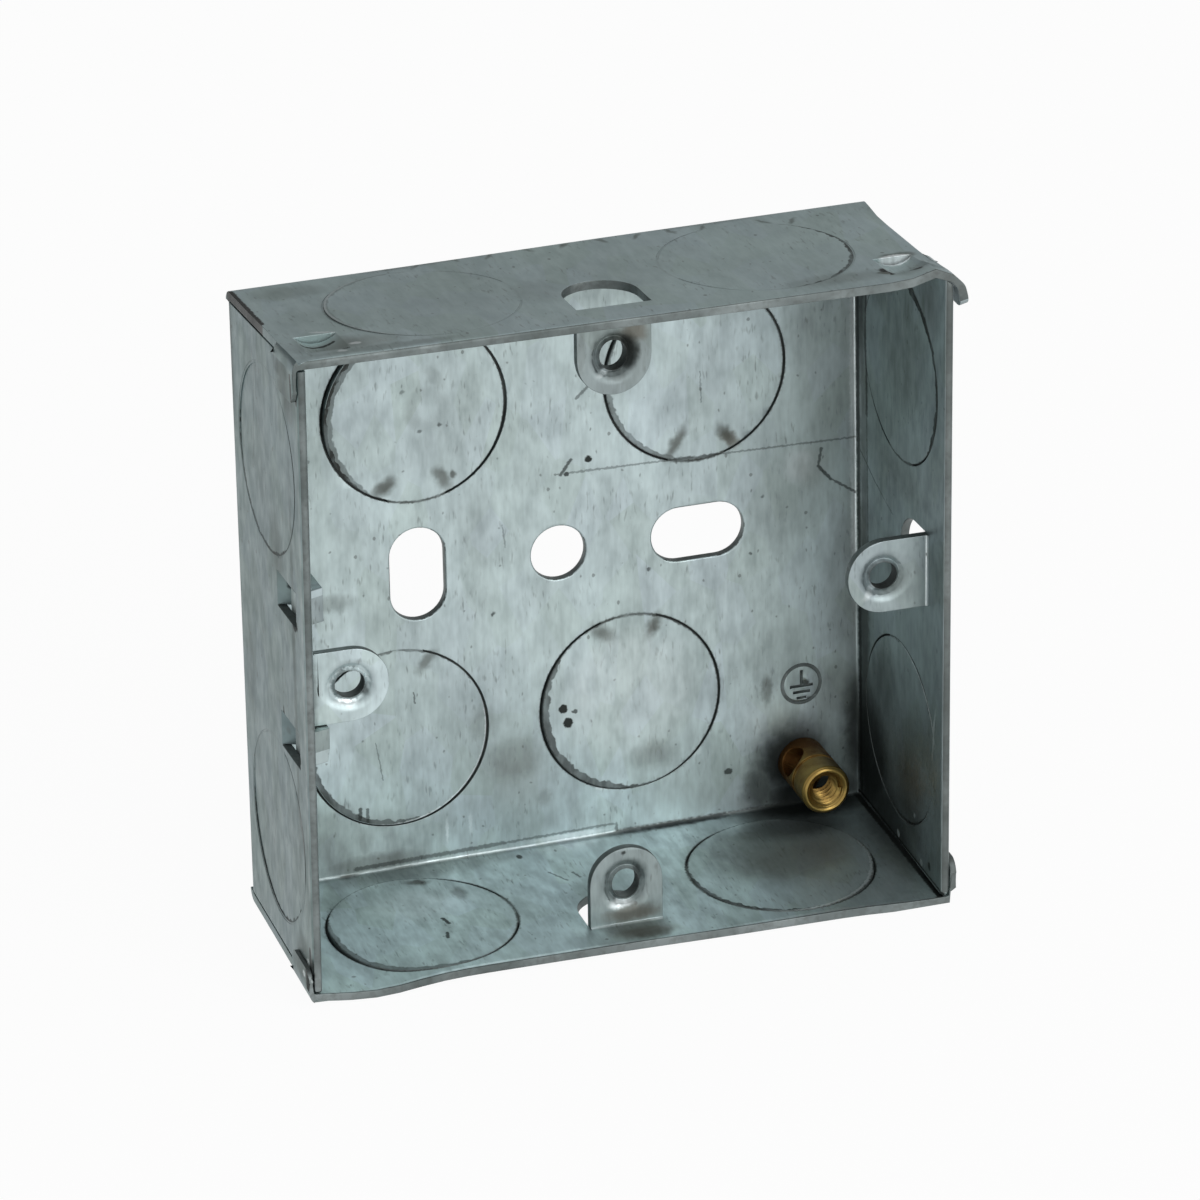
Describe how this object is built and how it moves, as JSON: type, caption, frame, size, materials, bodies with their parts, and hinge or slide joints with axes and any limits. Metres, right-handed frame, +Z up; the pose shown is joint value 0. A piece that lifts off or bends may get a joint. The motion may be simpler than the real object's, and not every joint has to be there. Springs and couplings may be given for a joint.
{
  "type": "flush back box",
  "caption": "Shallow square steel box folded from sheet, open at the front, with knockouts, fixing slots, tapped lugs, a sliding lug and a brass earth terminal.",
  "frame": {"origin": "centre of the middle fixing hole on the outer face of the back", "axes": "+Y out of the back into the wall, +Z up, +X right as seen from the open front"},
  "size_m": [0.0741, 0.026, 0.0712],
  "materials": {
    "zinc_steel": "galvanised, dull and mottled",
    "terminal_brass": "turned, tarnished"
  },
  "bodies": {
    "box": {"box_body": "zinc_steel", "earth_terminal": "terminal_brass"},
    "sliding_lug": {"adjustable_lug": "zinc_steel"}
  },
  "joints": [
    {"name": "lug_slide", "type": "slide", "parent": "box", "child": "sliding_lug", "axis": [0, 0, 1], "range_m": [0, 0.0038]}
  ]
}
